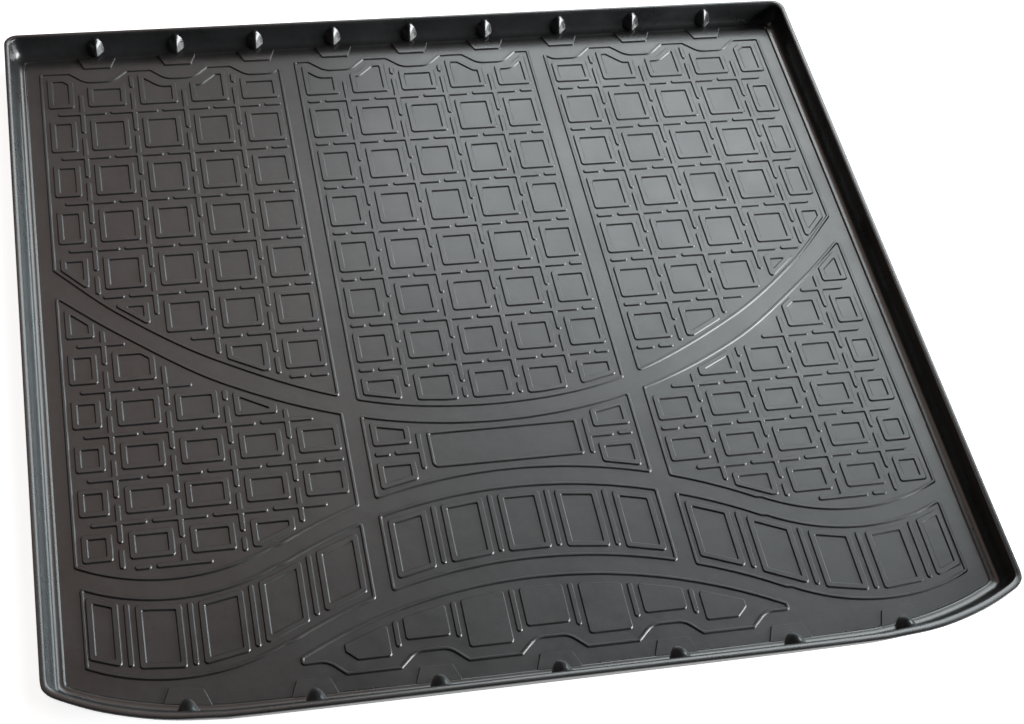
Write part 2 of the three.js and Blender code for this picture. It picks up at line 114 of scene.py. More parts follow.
for name, setting in SOFT_BOXES.items():
    add_soft_box(name, **setting)

world = bpy.data.worlds.new("studio")
bpy.context.scene.world = world
world.use_nodes = True
world.node_tree.nodes["Background"].inputs["Color"].default_value = WORLD_GREY
bpy.context.scene.view_settings.view_transform = "Standard"
print("lamps", len(SOFT_BOXES))

# %% [markdown]
# The photograph has a plain white ground. A large plane takes the tray's soft shadow. Where it is seen,
# straight or in a reflection, it is lifted to white by a little emission. Light Path keeps that emission
# out of the diffuse light, so it doesn't wash over the tray.

# %% The ground
GROUND_SIZE = 30
GROUND_COLOUR = (0.9, 0.9, 0.9, 1)
GROUND_ROUGHNESS, GROUND_SPECULAR = 0.9, 0.1
GROUND_LIFT = 0.85

ground_mesh = bpy.data.meshes.new("ground")
half = GROUND_SIZE / 2
corners = [(-half, -half, 0), (half, -half, 0), (half, half, 0), (-half, half, 0)]
ground_mesh.from_pydata(corners, [], [(0, 1, 2, 3)])
ground = add_object("ground", ground_mesh)

ground_finish = bpy.data.materials.new("pale_ground")
ground_finish.use_nodes = True
nodes, links = ground_finish.node_tree.nodes, ground_finish.node_tree.links
shader = nodes["Principled BSDF"]
shader.inputs["Base Color"].default_value = GROUND_COLOUR
shader.inputs["Roughness"].default_value = GROUND_ROUGHNESS
shader.inputs["Specular IOR Level"].default_value = GROUND_SPECULAR
shader.inputs["Emission Color"].default_value = (1, 1, 1, 1)
light_path = nodes.new("ShaderNodeLightPath")
lift = nodes.new("ShaderNodeMath")
lift.operation = "MULTIPLY"
lift.inputs[1].default_value = GROUND_LIFT
seen = light_path.outputs["Is Camera Ray"]
for other in ("Is Glossy Ray", "Is Transmission Ray"):
    both = nodes.new("ShaderNodeMath")
    both.operation = "MAXIMUM"
    links.new(seen, both.inputs[0])
    links.new(light_path.outputs[other], both.inputs[1])
    seen = both.outputs[0]
links.new(seen, lift.inputs[0])
links.new(lift.outputs[0], shader.inputs["Emission Strength"])
ground.data.materials.append(ground_finish)
print("ground", GROUND_SIZE, "m")

# %% [markdown]
# The rubber is near black. Its tone clouds slightly from place to place, as moulded rubber does when it
# cools, and its skin has a fine grain that scatters the light. Both effects are used by the grained tread
# and by the smoother wall, so each is a node group with its own sliders. Noise in object coordinates has
# the real scale in metres and needs no unwrapped map.


# %% Effects of the rubber
SLOW_SHARE, FINE_SHARE = 0.65, 0.35
NOISE_ROUGHNESS = 0.55


def new_group(name, inputs, outputs):
    group = bpy.data.node_groups.new(name, "ShaderNodeTree")
    for label, default in inputs:
        socket = group.interface.new_socket(label, in_out="INPUT", socket_type="NodeSocketFloat")
        socket.default_value = default
    for label in outputs:
        group.interface.new_socket(label, in_out="OUTPUT", socket_type="NodeSocketFloat")
    return group, group.nodes.new("NodeGroupInput"), group.nodes.new("NodeGroupOutput")


def noise_in(group, scale, detail):
    place = group.nodes.new("ShaderNodeTexCoord")
    noise = group.nodes.new("ShaderNodeTexNoise")
    noise.inputs["Detail"].default_value = detail
    noise.inputs["Roughness"].default_value = NOISE_ROUGHNESS
    group.links.new(place.outputs["Object"], noise.inputs["Vector"])
    group.links.new(scale, noise.inputs["Scale"])
    return noise.outputs["Fac"]


def math_in(group, operation, a, b):
    node = group.nodes.new("ShaderNodeMath")
    node.operation = operation
    for socket, value in zip(node.inputs, (a, b)):
        if isinstance(value, (int, float)):
            socket.default_value = value
        else:
            group.links.new(value, socket)
    return node.outputs[0]


def make_cloud_group():
    """Slow clouds of tone: a mask around one half."""
    sliders = [("Scale", 14), ("Fine Scale", 160), ("Contrast", 1)]
    group, given, made = new_group("rubber_clouds", sliders, ["Mask"])
    slow = math_in(group, "MULTIPLY", noise_in(group, given.outputs["Scale"], 3), SLOW_SHARE)
    fine = math_in(group, "MULTIPLY", noise_in(group, given.outputs["Fine Scale"], 4), FINE_SHARE)
    centred = math_in(group, "SUBTRACT", math_in(group, "ADD", slow, fine), 0.5)
    stronger = math_in(group, "MULTIPLY", centred, given.outputs["Contrast"])
    group.links.new(math_in(group, "ADD", stronger, 0.5), made.inputs["Mask"])
    return group


def make_grain_group():
    """The moulded skin: a fine grain over a slight waviness, as a height in metres."""
    sliders = [("Grain Scale", 900), ("Grain Depth", 0.00004), ("Wave Scale", 45), ("Wave Depth", 0.0001)]
    group, given, made = new_group("rubber_grain", sliders, ["Height"])
    heights = []
    for part, detail in (("Grain", 2), ("Wave", 1)):
        noise = noise_in(group, given.outputs[part + " Scale"], detail)
        heights.append(math_in(group, "MULTIPLY", noise, given.outputs[part + " Depth"]))
    group.links.new(math_in(group, "ADD", *heights), made.inputs["Height"])
    return group


clouds = make_cloud_group()
grain = make_grain_group()
print("groups", clouds.name, grain.name)

# %% [markdown]
# Two finishes of one rubber. The tread is satin: its mould was blasted, so it scatters the soft box into
# an even grey. The wall, the lip and the bosses come from a polished part of the mould, so they stay
# darker and show tighter lights.

# %% Rubber finishes
RUBBER_DARK = (0.010, 0.0102, 0.0106, 1)
RUBBER_LIGHT = (0.022, 0.0225, 0.023, 1)
CLOUD_CONTRAST = 3
COAT_WEIGHT, COAT_ROUGHNESS = 0.4, 0.2
FINISH_SETTINGS = {
    "satin_tread_rubber": {"roughness": 0.34, "spread": 0.12, "grain_depth": 0.00014, "wave_depth": 0.0003},
    "smooth_wall_rubber": {"roughness": 0.26, "spread": 0.06, "grain_depth": 0.00002, "wave_depth": 0.00008},
}


def rubber_finish(name, roughness, spread, grain_depth, wave_depth):
    """Roughness goes from the given value up by spread where the clouds are light."""
    finish = bpy.data.materials.new(name)
    finish.use_nodes = True
    nodes, links = finish.node_tree.nodes, finish.node_tree.links
    shader = nodes["Principled BSDF"]
    tone = nodes.new("ShaderNodeGroup")
    tone.node_tree = clouds
    tone.inputs["Contrast"].default_value = CLOUD_CONTRAST
    ramp = nodes.new("ShaderNodeMix")
    ramp.data_type = "RGBA"
    ramp.inputs["A"].default_value = RUBBER_DARK
    ramp.inputs["B"].default_value = RUBBER_LIGHT
    links.new(tone.outputs["Mask"], ramp.inputs["Factor"])
    links.new(ramp.outputs["Result"], shader.inputs["Base Color"])
    rough = nodes.new("ShaderNodeMapRange")
    rough.inputs["To Min"].default_value = roughness
    rough.inputs["To Max"].default_value = roughness + spread
    links.new(tone.outputs["Mask"], rough.inputs["Value"])
    links.new(rough.outputs["Result"], shader.inputs["Roughness"])
    shader.inputs["Coat Weight"].default_value = COAT_WEIGHT
    shader.inputs["Coat Roughness"].default_value = COAT_ROUGHNESS
    skin = nodes.new("ShaderNodeGroup")
    skin.node_tree = grain
    skin.inputs["Grain Depth"].default_value = grain_depth
    skin.inputs["Wave Depth"].default_value = wave_depth
    bump = nodes.new("ShaderNodeBump")
    bump.inputs["Distance"].default_value = 1
    links.new(skin.outputs["Height"], bump.inputs["Height"])
    links.new(bump.outputs["Normal"], shader.inputs["Normal"])
    return finish


FINISHES = [rubber_finish(name, **setting) for name, setting in FINISH_SETTINGS.items()]
SATIN, SMOOTH = range(len(FINISHES))
print("finishes", [finish.name for finish in FINISHES])

# %% [markdown]
# All lengths below are in millimetres. The tread is drawn from a line a little behind the front rim, and
# every outline is a loop of points that runs counterclockwise. The tray's own box comes from the frame,
# the rest from a few sizes of the mould.

# %% Sizes of the tray
RIM_FRONT = -85
RIM_REAR = RIM_FRONT + (tray_high.y - tray_low.y) / MM
RIM_HALF = tray_high.x / MM
DRAWN_FROM = tray_low.y / MM - RIM_FRONT
RIM_TOP = tray_high.z / MM
WALL_LEAN = {"side": 23.6, "rear": 20, "front": 29}
FLOOR_HALF = RIM_HALF - WALL_LEAN["side"]
FLOOR_REAR = RIM_REAR - WALL_LEAN["rear"]
FLOOR_FRONT = RIM_FRONT + WALL_LEAN["front"]
FLOOR_TOP = 2.5
RIB_HEIGHT = 1.6
RIB_TOP = FLOOR_TOP + RIB_HEIGHT
print("floor", round(2 * FLOOR_HALF, 1), "x", round(FLOOR_REAR - FLOOR_FRONT, 1), "mm")

# %% [markdown]
# The mesh is gathered as points, normals and faces. A modifier stack of bevels on a thousand ribs would
# be slow and would leave slivers, so each rib gets its small fillet and round directly. The normals are
# given with the points, so that flat faces stay flat and the rounds look round with few faces.

# %% Gathering the mesh
MERGE_DISTANCE = 1e-5

points, normals, faces, face_finishes = [], [], [], []
known_points = {}


def point(x, y, z, normal=None):
    """The number of a point; a point that is already there is used again."""
    key = (round(x, 3), round(y, 3), round(z, 3))
    if key not in known_points:
        known_points[key] = len(points)
        points.append((x, y, z))
        normals.append(normal)
    return known_points[key]


def add_face(corners, finish):
    kept = [c for i, c in enumerate(corners) if c != corners[i - 1]]
    if len(kept) > 2:
        faces.append(kept)
        face_finishes.append(finish)


def add_strip(lower, upper, finish, turned=False):
    """The band of faces between two rows of points; it faces away from a counterclockwise loop."""
    count = len(lower)
    for i in range(count):
        j = (i + 1) % count
        corners = [lower[i], lower[j], upper[j], upper[i]]
        add_face(corners[::-1] if turned else corners, finish)


def add_sheet(loops, z, up, finish):
    """The flat sheet inside the first loop, and by turns outside and inside the loops in it."""
    given, inside = [], []
    for loop in loops:
        inside.append(list(range(len(given), len(given) + len(loop))))
        given += loop
    flat_points = [Vector(p) for p in given]
    made, _, triangles, sources, _, origins = delaunay_2d_cdt(flat_points, [], inside, 0, MERGE_DISTANCE)
    places = [given[source[0]] if source else (p.x, p.y) for p, source in zip(made, sources)]
    normal = (0, 0, 1 if up else -1)
    for corners, origin in zip(triangles, origins):
        if len(origin) % 2:
            numbers = [point(*places[c], z, normal) for c in corners]
            add_face(numbers if up else numbers[::-1], finish)


# %% [markdown]
# A few small tools shape the outlines: one rounds corners, two find where a line moves when it is offset
# and where its flank faces, and one draws a smooth curve through a few points.

# %% Tools for outlines
LEAST_TURN = 0.06
EDGE_SHARE = 0.48


def edges(loop):
    """For each point of a loop, the edge that comes to it and the edge that leaves it."""
    for i, corner in enumerate(loop):
        yield Vector(corner) - Vector(loop[i - 1]), Vector(loop[(i + 1) % len(loop)]) - Vector(corner)


def rounded(loop, radius, steps=4):
    """The loop with its corners rounded; radius is one number, or one for each corner."""
    radii = radius if isinstance(radius, list) else [radius] * len(loop)
    made = []
    for corner, r, (before, ahead) in zip(loop, radii, edges(loop)):
        here, back = Vector(corner), -before
        turn = math.pi - back.angle(ahead)
        if r <= 0 or turn < LEAST_TURN:
            made.append(corner)
            continue
        reach = min(r * math.tan(turn / 2), EDGE_SHARE * min(back.length, ahead.length))
        start, end = here + back.normalized() * reach, here + ahead.normalized() * reach
        middle = here + (back.normalized() + ahead.normalized()).normalized() * reach / math.sin(turn / 2)
        from_angle = math.atan2(start.y - middle.y, start.x - middle.x)
        sweep = math.remainder(math.atan2(end.y - middle.y, end.x - middle.x) - from_angle, 2 * math.pi)
        size = (start - middle).length
        for k in range(steps + 1):
            a = from_angle + sweep * k / steps
            made.append((middle.x + size * math.cos(a), middle.y + size * math.sin(a)))
    return made


def outward(loop):
    """For each point the direction away from the loop, as long as a mitre needs."""
    made = []
    for before, after in edges(loop):
        before, after = before.normalized(), after.normalized()
        made.append(Vector((before.y + after.y, -before.x - after.x)) / (1 + before.dot(after)))
    return made


def facing(loop):
    """For each point the level direction its flank faces; the longer of two edges counts for more."""
    return [Vector((before.y + after.y, -before.x - after.x)).normalized() for before, after in edges(loop)]


def moved(loop, distance):
    """The loop moved outward by a distance, or inward by a negative one."""
    return [(x + m.x * distance, y + m.y * distance) for (x, y), m in zip(loop, outward(loop))]


def curve_through(knots):
    """A smooth height over x through the knots, mirrored about x = 0."""
    slopes = [0]
    for i in range(1, len(knots)):
        ahead = knots[min(i + 1, len(knots) - 1)]
        slopes.append((ahead[1] - knots[i - 1][1]) / (ahead[0] - knots[i - 1][0]))

    def height(x):
        d = min(abs(x), knots[-1][0])
        i = next(k for k in range(1, len(knots)) if knots[k][0] >= d)
        (x0, y0), (x1, y1) = knots[i - 1], knots[i]
        t = (d - x0) / (x1 - x0)
        s = 1 - t
        bend = (x1 - x0) * s * t * (slopes[i - 1] * s - slopes[i] * t)
        return y0 * s * s * (1 + 2 * t) + y1 * t * t * (3 - 2 * t) + bend

    return height


def mirrored(loop):
    return [(-x, y) for x, y in reversed(loop)]


# %% [markdown]
# A raised form, such as a rib, is a flat top with a round edge, a steep flank and a small fillet where it
# meets the floor. The section lists how far each row of points lies outside the drawn line, its height,
# and how far its normal leans from upright.

# %% Raised forms
FLANK = [(0.75, 0.0, 0), (0.5, 0.22, 46), (-0.4, 1.38, 44), (-0.75, RIB_HEIGHT, 0)]


def flank_rows(loop, side, foot_z=FLOOR_TOP, rises=None, finish=SATIN):
    """The flank around a loop (side 1) or around a hole (side -1), as rows of points from its foot up."""
    directions, faced = outward(loop), facing(loop)
    rows = []
    for out, height, lean in FLANK:
        row = []
        for (x, y), m, f, rise in zip(loop, directions, faced, rises or [1] * len(loop)):
            away = f * math.sin(math.radians(lean)) * side
            normal = (away.x, away.y, math.cos(math.radians(lean)))
            place = (x + m.x * out * side, y + m.y * out * side, foot_z + height * rise)
            row.append(point(*place, normal))
        rows.append(row)
    for lower, upper in zip(rows, rows[1:]):
        add_strip(lower, upper, finish, turned=side < 0)
    return rows


def add_flank(loop, side):
    """The flank of a form on the floor; gives its foot line and its top line."""
    flank_rows(loop, side)
    return moved(loop, FLANK[0][0] * side), moved(loop, FLANK[-1][0] * side)


def raise_form(outline, holes, floor_lines, hole_lines=None):
    """A raised form on the floor; its foot lines go to the lists of lines that cut the floor."""
    foot, top = add_flank(outline, 1)
    floor_lines.append(foot)
    tops = [top]
    for hole in holes:
        foot, top = add_flank(hole, -1)
        (floor_lines if hole_lines is None else hole_lines).append(foot)
        tops.append(top)
    add_sheet(tops, RIB_TOP, True, SATIN)


# %% [markdown]
# The tread has panels with channels between them. A wide arched band parts the upper panels from the
# lower ones, and a wave runs across the front: a flat crown in the middle and a tighter dip on each side.
# Two circles that touch give the wave, and a curve through five knots gives each side of the band.

# %% Lines of the panels
PANEL_GAP = {"side": 15.5, "rear": 21.5}
PANEL_SIDE = FLOOR_HALF - PANEL_GAP["side"]
PANEL_REAR = FLOOR_REAR - PANEL_GAP["rear"]
CHANNEL_INNER, CHANNEL_OUTER = 152.4, 170.5
BORDER_WIDTH = 3
band_top = curve_through([(0, 280.7), (150.7, 302), (300, 375.5), (400, 453), (470, 527)])
band_bottom = curve_through([(0, 260), (150.7, 280.7), (292, 342.8), (400, 425.5), (470, 490)])
CROWN_Y, CROWN_RADIUS = 169.7, 525
DIP_X, DIP_Y, DIP_RADIUS = 368, 73.8, 212
WAVE_DEPTH = 95
WAVE_CHANNEL = 21
WAVE_SIDE_INSET = 3.9
FRONT_PANEL_HALF = 255
FRONT_PANEL_FRONT = -38
BOSS_PITCH = {"rear": 99, "front": 123}
REAR_BOSSES = [i * BOSS_PITCH["rear"] for i in range(-4, 5)]
FRONT_BOSSES = [i * BOSS_PITCH["front"] for i in range(-3, 4)]
RECESS_MOUTH = 34
REAR_RECESS = {"depth": 17, "floor": 15.5}
FRONT_RECESS = {"depth": 16.6, "floor": 17}
MOUTH_RADIUS, RECESS_RADIUS = 2, 18
RECESS_SPREAD = 0.6
LEAST_EDGE = 4
CORNER_RADIUS = 3.5
LEAST_RADIUS = 1.3


def wave(x):
    d = abs(x)
    meet = DIP_X * CROWN_RADIUS / (CROWN_RADIUS + DIP_RADIUS)
    if d < meet:
        return CROWN_Y - CROWN_RADIUS + math.sqrt(CROWN_RADIUS**2 - d**2)
    return DIP_Y + DIP_RADIUS - math.sqrt(DIP_RADIUS**2 - (d - DIP_X) ** 2)


def lower_front(x):
    return wave(x) + WAVE_CHANNEL


def wave_front(x):
    return wave(x) - WAVE_DEPTH


def front_panel_rear(x):
    return wave_front(x) - WAVE_CHANNEL


def along(line, x0, x1, spacing=6, clear=16):
    """Points on a line from x0 to x1, and the radius of each: only the two ends are corners."""
    count = max(2, round((x1 - x0 - 2 * clear) / spacing))
    xs = [x0] + [x0 + clear + (x1 - x0 - 2 * clear) * i / count for i in range(count + 1)] + [x1]
    return [(x, line(x)) for x in xs], [CORNER_RADIUS] + [0] * (count + 1) + [CORNER_RADIUS]


def recess_height(outer, towards, centres, recess, gap=0):
    """The y of a straight line with a recess around each boss, moved into the panel by a gap."""
    wide, narrow = (half + RECESS_SPREAD * gap for half in (RECESS_MOUTH, recess["floor"]))
    level = outer + towards * gap
    deep = level + towards * recess["depth"]

    def height(x):
        d = min(abs(x - c) for c in centres)
        return deep + (level - deep) * min(max((d - narrow) / (wide - narrow), 0), 1)

    return height, wide, narrow


def recess_line(outer, towards, centres, recess, x0, x1, gap, corner=CORNER_RADIUS):
    """The points of such a line from x0 to x1, and the radius of each."""
    height, wide, narrow = recess_height(outer, towards, centres, recess, gap)
    half_pitch = (centres[1] - centres[0]) / 2
    knots = {x0: corner, x1: corner}
    for c in centres:
        for half, radius in ((wide, MOUTH_RADIUS), (narrow, RECESS_RADIUS)):
            for x in (c - half, c + half):
                if x0 + LEAST_EDGE < x < x1 - LEAST_EDGE and abs(x - c) < half_pitch:
                    knots[x] = radius
    line = sorted(knots)
    return [(x, height(x)) for x in line], [knots[x] for x in line]


def rear_line(x0, x1, gap=0):
    return recess_line(PANEL_REAR, -1, REAR_BOSSES, REAR_RECESS, x0, x1, gap)


def front_line(x0, x1, gap=0):
    return recess_line(FRONT_PANEL_FRONT, 1, FRONT_BOSSES, FRONT_RECESS, x0, x1, gap)


def closed(front, rear):
    """A loop and its radii from a front line and a rear line, both given from left to right."""
    (front_points, front_radii), (rear_points, rear_radii) = front, rear
    return front_points + rear_points[::-1], front_radii + rear_radii[::-1]


def shrunk(loop, radii, distance):
    """The rounded loop moved inward; an outer corner gets tighter and an inner one wider."""
    made = []
    for r, (before, after) in zip(radii, edges(loop)):
        inner_corner = before.cross(after) < 0
        made.append(0 if r == 0 else r + distance if inner_corner else max(r - distance, LEAST_RADIUS))
    return rounded(moved(loop, -distance), made)


print("wave from", round(wave(DIP_X)), "to", round(wave(0)), "mm")

# %% [markdown]
# Each panel is outlined by a narrow ridge. The line outside it cuts the floor of the channels, the line
# inside it is the edge of the panel's own floor, where the squares and ribs will cut their holes.

# %% Panels and their ridges
channel_lines = []
panels = {}


def add_panel(name, outline):
    lines = []
    loop, radii = outline
    raise_form(rounded(loop, radii), [shrunk(loop, radii, BORDER_WIDTH)], channel_lines, lines)
    panels[name] = lines


def panel_column(name, x0, x1):
    inset = WAVE_SIDE_INSET
    w0, w1 = (x0 + inset if x0 < -CHANNEL_OUTER else x0), (x1 - inset if x1 > CHANNEL_OUTER else x1)
    add_panel("upper_" + name, closed(along(band_top, x0, x1), rear_line(x0, x1)))
    add_panel("lower_" + name, closed(along(lower_front, x0, x1), along(band_bottom, x0, x1)))
    add_panel("wave_" + name, closed(along(wave_front, w0, w1), along(wave, w0, w1)))


panel_column("left", -PANEL_SIDE, -CHANNEL_OUTER)
panel_column("middle", -CHANNEL_INNER, CHANNEL_INNER)
panel_column("right", CHANNEL_OUTER, PANEL_SIDE)
front_rear_edge = along(front_panel_rear, -FRONT_PANEL_HALF, FRONT_PANEL_HALF)
add_panel("front", closed(front_line(-FRONT_PANEL_HALF, FRONT_PANEL_HALF), front_rear_edge))
print("panels", len(panels))

# %% [markdown]
# The squares are frames with a round outer corner and a nearly sharp inner one. They stand in columns,
# and the rows get shorter towards the front. Where a curved line crosses a square, the square is cut
# along it. An array modifier would repeat one square, but here nearly every row differs.

# %% Squares
PITCH = 62.4
SQUARE_GAP = 17
SQUARE_WALL = 6.1
SQUARE = PITCH - SQUARE_GAP
MARGIN = 8.6
CHANNEL_GAP = 7.5
ROW_GAP = 22.3
INNER_RADIUS = 1.0
LEAST_HOLE = 60
LEAST_SIDE = 2.5
UPPER_ROWS = [787.6, 712.4, 638, 563.1, 490, 420, 354.5, 292]
LOWER_ROWS = [420.7, 355.5, 294.8, 237.2, 180.3, 123.8]
REAR_SQUARE_GAP = 10.3
WAVE_REAR_GAP, WAVE_FRONT_GAP = 10, 12
SIDE_COLUMN = CHANNEL_OUTER + CHANNEL_GAP + SQUARE / 2
middle_columns = [i * PITCH for i in range(-2, 3)]
side_columns = [SIDE_COLUMN + i * PITCH for i in range(5)]


def span(middle, edge):
    return max(middle - SQUARE / 2, MARGIN - edge), min(middle + SQUARE / 2, edge - MARGIN)


COLUMNS = {
    "left": [span(-x, PANEL_SIDE) for x in side_columns],
    "middle": [span(x, CHANNEL_INNER) for x in middle_columns],
    "right": [span(x, PANEL_SIDE) for x in side_columns],
}


def cut(loop, a, b, distance):
    """The part of a loop on the left of the line from a to b, moved left by a distance."""
    ahead = (Vector(b) - Vector(a)).normalized()
    sides = [ahead.x * (y - a[1]) - ahead.y * (x - a[0]) - distance for x, y in loop]
    made = []
    for i, (p, s) in enumerate(zip(loop, sides)):
        j = (i + 1) % len(loop)
        if s >= 0:
            made.append(p)
        if (s >= 0) != (sides[j] >= 0):
            t = s / (s - sides[j])
            made.append((p[0] + (loop[j][0] - p[0]) * t, p[1] + (loop[j][1] - p[1]) * t))
    return made


def loop_area(loop):
    return abs(sum(x * loop[i - 1][1] - y * loop[i - 1][0] for i, (x, y) in enumerate(loop))) / 2


def tidy(loop, least=1.5):
    """The loop without corners that lie almost on one another."""
    return [p for i, p in enumerate(loop) if (Vector(p) - Vector(loop[i - 1])).length > least]


def square_loop(column, row, trims, d):
    (x0, x1), (y0, y1) = column, row
    loop = [(x0 + d, y0 + d), (x1 - d, y0 + d), (x1 - d, y1 - d), (x0 + d, y1 - d)]
    for a, b in trims:
        loop = cut(loop, a, b, d)
        if len(loop) < 3:
            return []
    return tidy(loop, LEAST_SIDE)


def add_square(column, row, trims, lines):
    outer, inner = (square_loop(column, row, trims, d) for d in (0, SQUARE_WALL))
    if len(inner) > 2 and loop_area(inner) > LEAST_HOLE:
        raise_form(rounded(outer, CORNER_RADIUS), [rounded(inner, INNER_RADIUS, 2)], lines)
        return 1
    return 0


def above(line, gap, column):
    x0, x1 = column
    return (x0, line(x0) + gap), (x1, line(x1) + gap)


def below(line, gap, column):
    x0, x1 = column
    return (x1, line(x1) - gap), (x0, line(x0) - gap)


def row_spans(fronts):
    """The front and rear edge of each row."""
    behind = [2 * fronts[0] - fronts[1]] + fronts[:-1]
    return [(y, b - ROW_GAP) for y, b in zip(fronts, behind)]


def add_rear_square(column, y0, lines):
    """A square of the rearmost row, whose rear side follows the recess around the boss."""
    loops = []
    for d, radius in ((0, CORNER_RADIUS), (SQUARE_WALL, INNER_RADIUS)):
        x0, x1 = column[0] + d, column[1] - d
        front = [(x0, y0 + d), (x1, y0 + d)], [radius, radius]
        rear = recess_line(PANEL_REAR, -1, REAR_BOSSES, REAR_RECESS, x0, x1, REAR_SQUARE_GAP + d, radius)
        loops.append(rounded(*closed(front, rear)))
    raise_form(loops[0], [loops[1]], lines)
    return 1


square_count = 0
for side, columns in COLUMNS.items():
    for column in columns:
        square_count += add_rear_square(column, UPPER_ROWS[0], panels["upper_" + side])
        trims = [above(band_top, MARGIN, column)]
        for row in row_spans(UPPER_ROWS)[1:]:
            square_count += add_square(column, row, trims, panels["upper_" + side])
        if side != "middle":
            trims = [below(band_bottom, MARGIN, column), above(lower_front, MARGIN, column)]
            for row in row_spans(LOWER_ROWS):
                square_count += add_square(column, row, trims, panels["lower_" + side])
        trims = [below(wave, WAVE_REAR_GAP, column), above(wave_front, WAVE_FRONT_GAP, column)]
        square_count += add_square(column, (-PANEL_SIDE, PANEL_SIDE), trims, panels["wave_" + side])
print("squares", square_count)

# %% [markdown]
# Between the squares lie crossing ribs, each with four arms and round ends. Near a curved edge an arm is
# cut short, and where even the crossing is outside the panel, only what is left of its arms remains, as
# a short bar. So each crossing is drawn in full and then tested against its panel.

# %% Crossing ribs and bars
RIB_HALF = 2.6
CROSS_RADIUS = 1.2
CROSS_LEAST_SIDE = 0.1
RIB_SPACE_X, RIB_SPACE_Y = 5.4, 7.5
ARM_CLEAR = 12
LEAST_ARM = 8
LEAST_BAR = 12
# How far from a crossing that is left out its lone arms may start; aside holds where an arm passes close.
LONE_CLOSE, LONE_ASIDE, LONE_LEVEL, LONE_UPRIGHT = 3, 12.5, 3.6, 5
END_STEPS = 6
TURNS = [(1, 0), (0, 1), (-1, 0), (0, -1)]


def end_arc(x, y, turn):
    """The half-round end of an arm that points along a turn; x, y is the middle of the round."""
    start = turn * math.pi / 2 - math.pi / 2
    angles = [start + math.pi * k / END_STEPS for k in range(END_STEPS + 1)]
    return [(x + RIB_HALF * math.cos(a), y + RIB_HALF * math.sin(a)) for a in angles]


def add_bar(x0, y0, x1, y1, lines):
    """A bar with round ends from the lower or left point to the other one."""
    turn = 0 if abs(x1 - x0) > abs(y1 - y0) else 1
    dx, dy = TURNS[turn]
    far = end_arc(x1 - dx * RIB_HALF, y1 - dy * RIB_HALF, turn)
    near = end_arc(x0 + dx * RIB_HALF, y0 + dy * RIB_HALF, turn + 2)
    raise_form(far + near, [], lines)


def add_cross(x, y, arms, lines):
    """A crossing with arms to +X, +Y, -X and -Y; an arm of no length is left out."""
    loop, radii = [], []
    for turn, length in enumerate(arms):
        dx, dy = TURNS[turn]
        loop.append((x + RIB_HALF * (dx + dy), y + RIB_HALF * (dy - dx)))
        radii.append(CROSS_RADIUS if length and arms[turn - 1] else 0)
        if length:
            reach = length - RIB_HALF
            loop += end_arc(x + dx * reach, y + dy * reach, turn)
            radii += [0] * (END_STEPS + 1)
    raise_form(tidy(rounded(loop, radii), CROSS_LEAST_SIDE), [], lines)


def part_inside(inside, x, y, turn, length):
    """The stretch of an arm that lies inside, as its start and end measured from the crossing."""
    dx, dy = TURNS[turn]
    held = [s / 2 for s in range(int(2 * length) + 1) if inside(x + dx * s / 2, y + dy * s / 2)]
    return (held[0], held[-1]) if held else (0, 0)


def add_crossing(x, y, arms, inside, lines):
    """The crossing as far as it lies inside; gives the number of forms it made."""
    stretches = [part_inside(inside, x, y, turn, length) for turn, length in enumerate(arms)]
    if inside(x, y):
        add_cross(x, y, [end if end > LEAST_ARM else 0 for _, end in stretches], lines)
        return 1
    made = 0
    close = any(0 < stretches[turn][0] < LONE_CLOSE for turn in (1, 3))
    first = (LONE_ASIDE, 0) if close else (LONE_LEVEL, LONE_UPRIGHT)
    for turn, (start, end) in enumerate(stretches):
        start = max(start, first[turn % 2])
        if end - start > LEAST_BAR:
            dx, dy = TURNS[turn]
            ends = sorted([(x + dx * start, y + dy * start), (x + dx * end, y + dy * end)])
            add_bar(*ends[0], *ends[1], lines)
            made += 1
    return made


def add_crossings(xs, fronts, inside, lines):
    centres = [y - ROW_GAP / 2 for y in fronts]
    across = (PITCH - RIB_SPACE_X) / 2
    made = 0
    for i, y in enumerate(centres):
        behind = centres[i - 1] if i else 2 * y - centres[1]
        ahead = centres[i + 1] if i + 1 < len(centres) else 2 * y - centres[i - 1]
        north, south = (behind - y - RIB_SPACE_Y) / 2, (y - ahead - RIB_SPACE_Y) / 2
        for x in xs:
            made += add_crossing(x, y, [across, north, across, south], inside, lines)
    return made


def between(front, rear):
    return lambda x, y: front(x) + ARM_CLEAR < y < rear(x) - ARM_CLEAR


MIDDLE_RIBS = [i * PITCH for i in (-1.5, -0.5, 0.5, 1.5)]
RIGHT_RIBS = [SIDE_COLUMN + i * PITCH for i in (0.5, 1.5, 2.5, 3.5)]
RIBS = {"left": [-x for x in RIGHT_RIBS], "middle": MIDDLE_RIBS, "right": RIGHT_RIBS}
SIGNS = {"left": [-1], "middle": [-1, 1], "right": [1]}
SIDE_DASH = (177.6, 197.9)
MIDDLE_DASH = (127.2, 143.8)

rib_count = 0
for side, xs in RIBS.items():
    near, far = MIDDLE_DASH if side == "middle" else SIDE_DASH
    fields = {"upper_": (UPPER_ROWS, between(band_top, lambda x: PANEL_REAR))}
    if side != "middle":
        fields["lower_"] = (LOWER_ROWS, between(lower_front, band_bottom))
    for name, (fronts, inside) in fields.items():
        lines = panels[name + side]
        rib_count += add_crossings(xs, fronts, inside, lines)
        for y in [front - ROW_GAP / 2 for front in fronts]:
            for sign in SIGNS[side]:
                x0, x1 = sorted((sign * near, sign * far))
                if inside(x0, y) and inside(x1, y):
                    add_bar(x0, y, x1, y, lines)
                    rib_count += 1
print("ribs and bars", rib_count)

# %% [markdown]
# Some short bars stand alone at the rear, above the first crossings, where the recess leaves room.

